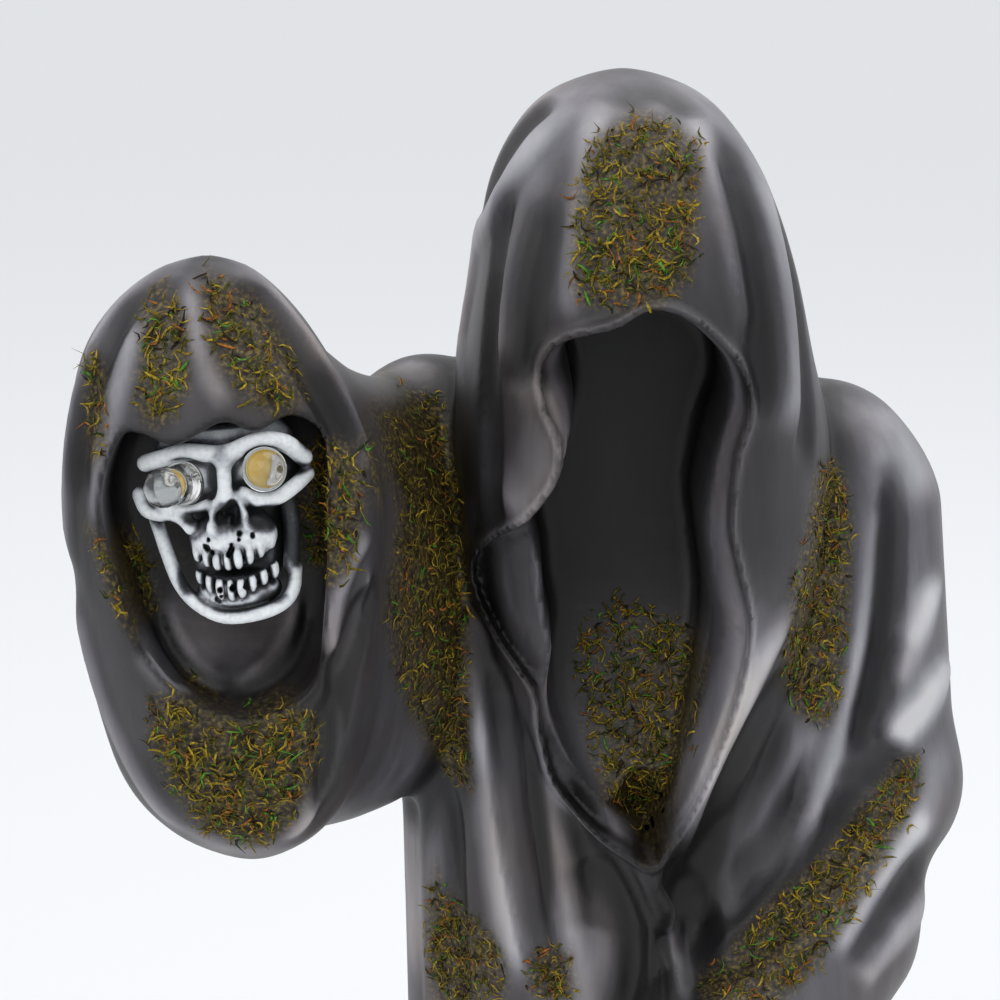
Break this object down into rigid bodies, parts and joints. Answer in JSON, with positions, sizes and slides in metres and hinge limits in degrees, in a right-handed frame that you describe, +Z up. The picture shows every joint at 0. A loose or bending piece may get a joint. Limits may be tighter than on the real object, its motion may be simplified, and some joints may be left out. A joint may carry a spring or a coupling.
{
  "type": "grim reaper figurine",
  "caption": "Robed figurine with an empty hood, its sleeve raised to frame a half skull with clear diode eyes, on a low oval base.",
  "frame": {"origin": "middle of the flat underside of the base, on the ground plane", "axes": "+Z up; -Y is the front, the way the hood's opening faces; +X is the figure's own left, where the bent arm is"},
  "size_m": [0.133, 0.1126, 0.3164],
  "materials": {
    "robe_paint": "satin",
    "bone_paint": "matte",
    "clear_lens": "gloss",
    "moss": "matte",
    "glue": "gloss",
    "diode_metal": "satin",
    "diode_phosphor": "matte"
  },
  "bodies": {
    "root": {"reaper_figure": "robe_paint", "skull": "bone_paint", "led_eye_left": "clear_lens", "led_eye_right": "clear_lens"}
  },
  "joints": []
}
